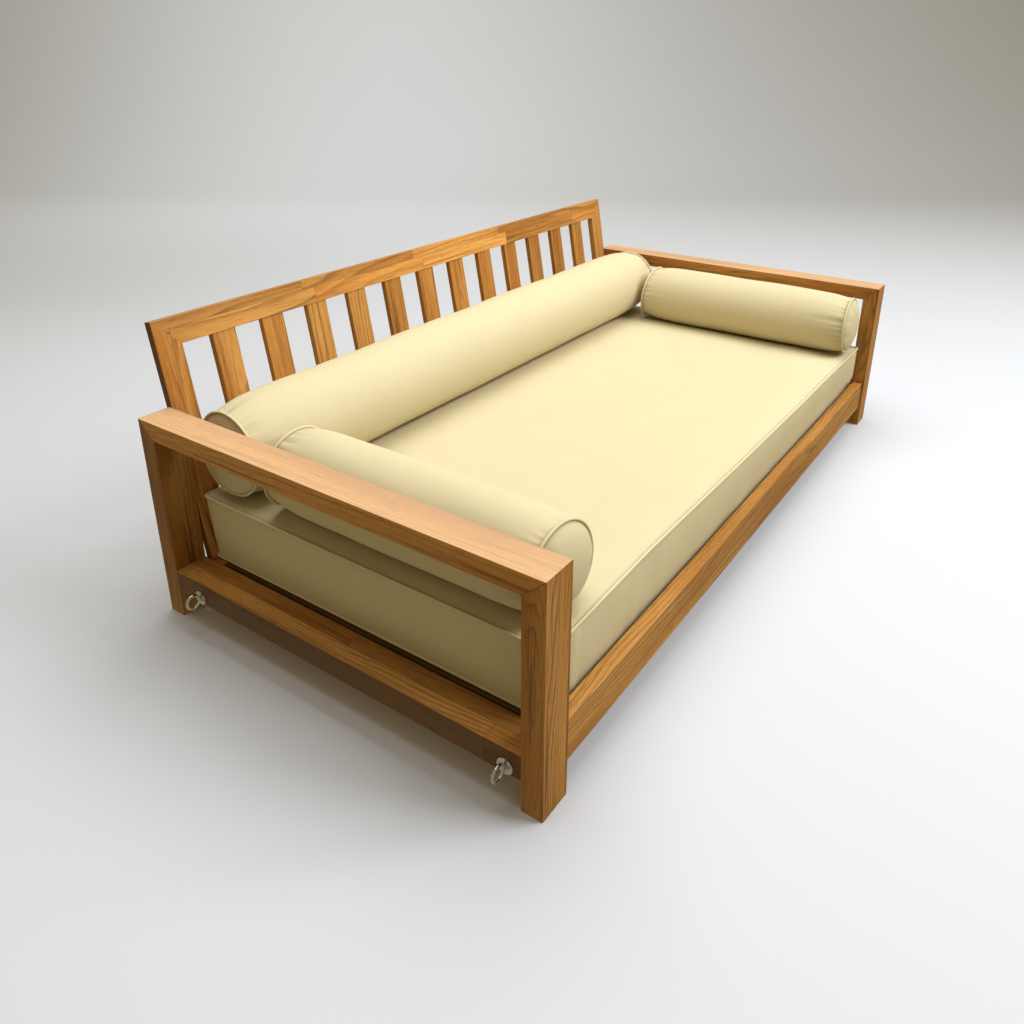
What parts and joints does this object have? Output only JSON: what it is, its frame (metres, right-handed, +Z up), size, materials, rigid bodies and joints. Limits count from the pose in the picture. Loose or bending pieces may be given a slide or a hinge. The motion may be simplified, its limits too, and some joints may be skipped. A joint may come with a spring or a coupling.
{
  "type": "daybed",
  "caption": "Teak daybed with mitred end frames, a leaning slatted back, steel eye bolts, a loose mattress and three bolsters.",
  "frame": {"origin": "on the floor, under the middle of the whole object's bounding box", "axes": "+X to the right end as seen from the front, +Y from the open front to the leaning back, +Z up"},
  "size_m": [2.159, 1.0918, 0.6788],
  "materials": {
    "teak_lengthwise": "oiled, satin",
    "teak_front_to_back": "oiled, satin",
    "teak_upright": "oiled, satin",
    "teak_back_upright": "oiled, satin",
    "teak_back_lengthwise": "oiled, satin",
    "base_timber": "planed, unfinished",
    "bright_steel": "bright, lightly brushed",
    "zinc_steel": "zinc plated",
    "brass": "plain",
    "cover_cloth": "plain woven, pale cream-khaki",
    "cushion_filling": "foam and fibre filling"
  },
  "bodies": {
    "frame": {"left_arm_rail": "teak_front_to_back", "right_arm_rail": "teak_front_to_back", "left_front_post": "teak_upright", "left_rear_post": "teak_upright", "right_front_post": "teak_upright", "right_rear_post": "teak_upright", "left_end_rail": "teak_front_to_back", "right_end_rail": "teak_front_to_back", "front_rail": "teak_lengthwise", "rear_rail": "teak_lengthwise", "front_cleat": "base_timber", "rear_cleat": "base_timber", "base_slat_01": "base_timber", "base_slat_02": "base_timber", "base_slat_03": "base_timber", "base_slat_04": "base_timber", "base_slat_05": "base_timber", "base_slat_06": "base_timber", "base_slat_07": "base_timber", "base_slat_08": "base_timber", "base_slat_09": "base_timber", "base_slat_10": "base_timber", "base_slat_11": "base_timber", "base_slat_12": "base_timber", "base_slat_13": "base_timber", "slat_screws": "zinc_steel", "cleat_screws": "zinc_steel", "back_left_stile": "teak_back_upright", "back_right_stile": "teak_back_upright", "back_top_rail": "teak_back_lengthwise", "back_low_rail": "teak_back_lengthwise", "back_slat_01": "teak_back_upright", "back_slat_02": "teak_back_upright", "back_slat_03": "teak_back_upright", "back_slat_04": "teak_back_upright", "back_slat_05": "teak_back_upright", "back_slat_06": "teak_back_upright", "back_slat_07": "teak_back_upright", "back_slat_08": "teak_back_upright", "back_slat_09": "teak_back_upright", "back_slat_10": "teak_back_upright", "back_slat_11": "teak_back_upright", "back_slat_12": "teak_back_upright", "mitre_dowels": "base_timber", "left_front_eye_bolt": "bright_steel", "left_rear_eye_bolt": "bright_steel", "right_front_eye_bolt": "bright_steel", "right_rear_eye_bolt": "bright_steel", "eye_bolt_washers": "bright_steel", "eye_bolt_nuts": "bright_steel", "back_bolts": "zinc_steel", "back_bolt_inserts": "brass"},
    "mattress": {"mattress_cover": "cover_cloth", "mattress_core": "cushion_filling"},
    "back_bolster": {"back_bolster_cover": "cover_cloth", "back_bolster_core": "cushion_filling"},
    "left_bolster": {"left_bolster_cover": "cover_cloth", "left_bolster_core": "cushion_filling"},
    "right_bolster": {"right_bolster_cover": "cover_cloth", "right_bolster_core": "cushion_filling"}
  },
  "joints": [
    {"name": "mattress_lift", "type": "slide", "parent": "frame", "child": "mattress", "axis": [0, 0, 1], "range_m": [0, 0.4]},
    {"name": "back_bolster_lift", "type": "slide", "parent": "mattress", "child": "back_bolster", "axis": [0, 0, 1], "range_m": [0, 0.3]},
    {"name": "left_bolster_lift", "type": "slide", "parent": "mattress", "child": "left_bolster", "axis": [0, 0, 1], "range_m": [0, 0.3]},
    {"name": "right_bolster_lift", "type": "slide", "parent": "mattress", "child": "right_bolster", "axis": [0, 0, 1], "range_m": [0, 0.3]}
  ]
}
